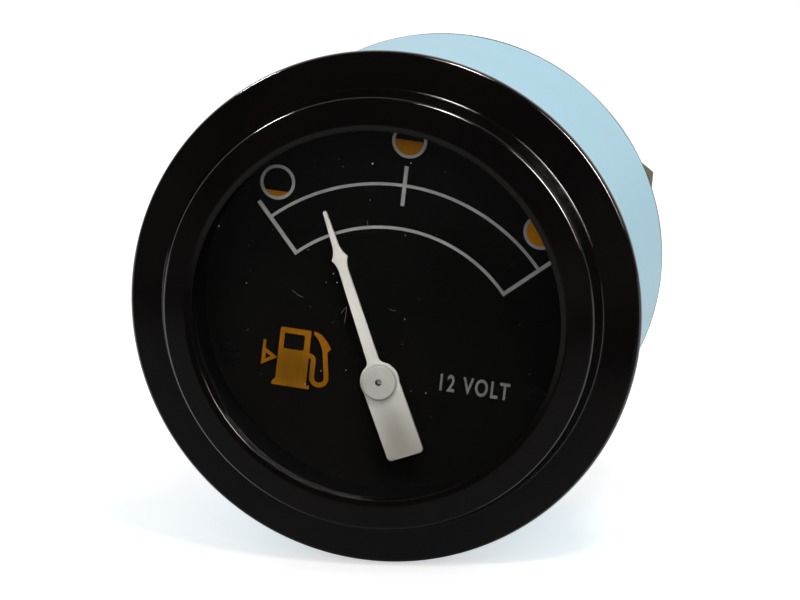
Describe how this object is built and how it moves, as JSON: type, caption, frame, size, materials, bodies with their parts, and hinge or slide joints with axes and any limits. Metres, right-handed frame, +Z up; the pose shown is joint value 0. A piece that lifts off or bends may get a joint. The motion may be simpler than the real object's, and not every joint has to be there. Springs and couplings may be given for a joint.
{
  "type": "fuel gauge",
  "caption": "Round panel fuel gauge: stepped black bezel, flat glass, black dial with level circles and pointer, drawn blue case, terminals and clamp studs behind.",
  "frame": {"origin": "on the axis of the barrel, in the plane where the back of the bezel seats on the panel", "axes": "+Y along the barrel from the face to the rear, +Z up, so the face looks along -Y and +X is to the reader's right"},
  "size_m": [0.06, 0.06, 0.06],
  "materials": {
    "bezel_black": "gloss enamel",
    "lens": "clear polished",
    "rubber_black": "matt",
    "shroud_black": "matt",
    "case_blue": "satin enamel",
    "dial_black": "matt",
    "screw_black": "blackened",
    "print_grey": "screen print",
    "print_amber": "screen print",
    "pointer_white": "painted",
    "steel_bright": "bright",
    "magnet_dark": "sintered",
    "brass_bright": "turned",
    "ruby": "polished",
    "bridge_steel": "plated",
    "bobbin_cream": "moulded",
    "copper_wire": "enamelled wire",
    "shield_iron": "drawn",
    "zinc_yellow": "yellow passivated zinc",
    "zinc_bright": "bright zinc",
    "board_brown": "laminate",
    "resistor_body": "coated",
    "bush_white": "moulded",
    "fibre_brown": "pressed fibre",
    "holder_black": "moulded",
    "bulb_glass": "clear"
  },
  "bodies": {
    "gauge_case": {"bezel_ring": "bezel_black", "lens_glass": "lens", "lens_gasket": "rubber_black", "shroud_ring": "shroud_black", "case_shell": "case_blue", "dial_plate": "dial_black", "dial_screws": "screw_black", "scale_marks": "print_grey", "amber_marks": "print_amber", "stop_pins": "steel_bright", "movement_screws": "steel_bright", "return_magnet": "magnet_dark", "front_bush": "brass_bright", "dial_posts": "brass_bright", "rear_jewel": "ruby", "bridge_plate": "bridge_steel", "front_bobbin": "bobbin_cream", "rear_bobbin": "bobbin_cream", "inner_coil": "copper_wire", "outer_coil": "copper_wire", "coil_leads": "copper_wire", "shield_can": "shield_iron", "rear_pillars": "zinc_yellow", "pillar_washers": "zinc_yellow", "pillar_nuts": "zinc_yellow", "terminal_studs": "zinc_yellow", "terminal_washers": "zinc_yellow", "terminal_nuts": "zinc_yellow", "wire_nuts": "zinc_yellow", "terminal_lock_washers": "zinc_bright", "lamp_tube": "zinc_bright", "circuit_board": "board_brown", "ballast_resistor": "resistor_body", "terminal_bushes": "bush_white", "terminal_insulators": "fibre_brown"},
    "pointer_set": {"pointer": "pointer_white", "pointer_boss": "pointer_white", "spindle": "steel_bright", "disc_magnet": "magnet_dark", "stop_arm": "brass_bright"},
    "left_washer": {"left_spring_washer": "zinc_bright"},
    "left_nut": {"left_clamp_nut": "zinc_yellow"},
    "right_washer": {"right_spring_washer": "zinc_bright"},
    "right_nut": {"right_clamp_nut": "zinc_yellow"},
    "lamp": {"lamp_holder": "holder_black", "lamp_bulb": "bulb_glass", "lamp_tab": "brass_bright"}
  },
  "joints": [
    {"name": "pointer_turn", "type": "hinge", "parent": "gauge_case", "child": "pointer_set", "pos_m": [-0.00093, 0, -0.00905], "axis": [0, 1, 0], "range_deg": [-20.6, 77]},
    {"name": "left_washer_slide", "type": "slide", "parent": "gauge_case", "child": "left_washer", "axis": [0, 1, 0], "range_m": [0, 0.0042]},
    {"name": "left_nut_turn", "type": "hinge", "parent": "left_washer", "child": "left_nut", "pos_m": [-0.01907, 0.0442, -0.00658], "axis": [0, 1, 0], "range_deg": [0, 2161]},
    {"name": "right_washer_slide", "type": "slide", "parent": "gauge_case", "child": "right_washer", "axis": [0, 1, 0], "range_m": [0, 0.0042]},
    {"name": "right_nut_turn", "type": "hinge", "parent": "right_washer", "child": "right_nut", "pos_m": [0.0171, 0.0442, -0.0107], "axis": [0, 1, 0], "range_deg": [0, 2161]},
    {"name": "lamp_pull", "type": "slide", "parent": "gauge_case", "child": "lamp", "axis": [0, 1, 0], "range_m": [0, 0.024]}
  ],
  "couplings": [
    {"joint": "left_nut_turn", "follows": "left_washer_slide", "rad_per_m": 8976},
    {"joint": "right_nut_turn", "follows": "right_washer_slide", "rad_per_m": 8976}
  ]
}
